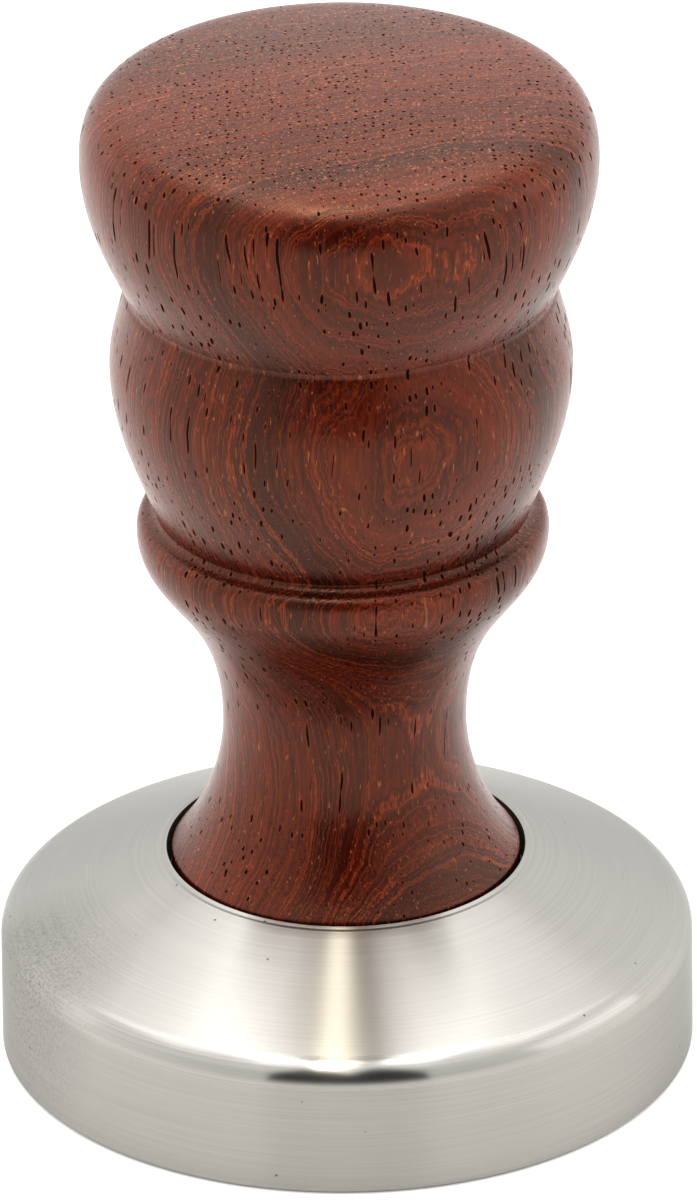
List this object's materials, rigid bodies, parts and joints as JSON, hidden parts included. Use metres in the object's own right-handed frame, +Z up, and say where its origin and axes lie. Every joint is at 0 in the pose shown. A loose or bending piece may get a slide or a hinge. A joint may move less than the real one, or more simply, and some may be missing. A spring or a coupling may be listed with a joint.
{
  "type": "espresso tamper",
  "caption": "Espresso tamper: flat stainless steel piston base with a coned top, screwed to a turned hardwood handle with a domed palm cap and a waisted neck.",
  "frame": {"origin": "centre of the flat tamping face, on the tamper's axis", "axes": "+Z up along the tamper's axis towards the palm cap; -Y faces the viewer in the source view"},
  "size_m": [0.058, 0.058, 0.0882],
  "materials": {
    "stainless": "fine-turned satin, with a burnished shoulder",
    "plated_steel": "dull zinc plate",
    "rubber": "matte black",
    "brass": "turned",
    "hardwood": "reddish rosewood-like hardwood under satin lacquer, with open pores"
  },
  "bodies": {
    "base": {"base": "stainless", "stud": "plated_steel"},
    "washer": {"washer": "rubber"},
    "handle": {"handle": "hardwood", "threaded_insert": "brass"}
  },
  "joints": [
    {"name": "handle_turn", "type": "hinge", "parent": "base", "child": "washer", "pos_m": [0, 0, 0.0148], "axis": [0, 0, 1], "range_deg": [0, 3528]},
    {"name": "handle_rise", "type": "slide", "parent": "washer", "child": "handle", "axis": [0, 0, 1], "range_m": [0, 0.01226]}
  ],
  "couplings": [
    {"joint": "handle_rise", "follows": "handle_turn", "m_per_rad": 0.00019894}
  ]
}
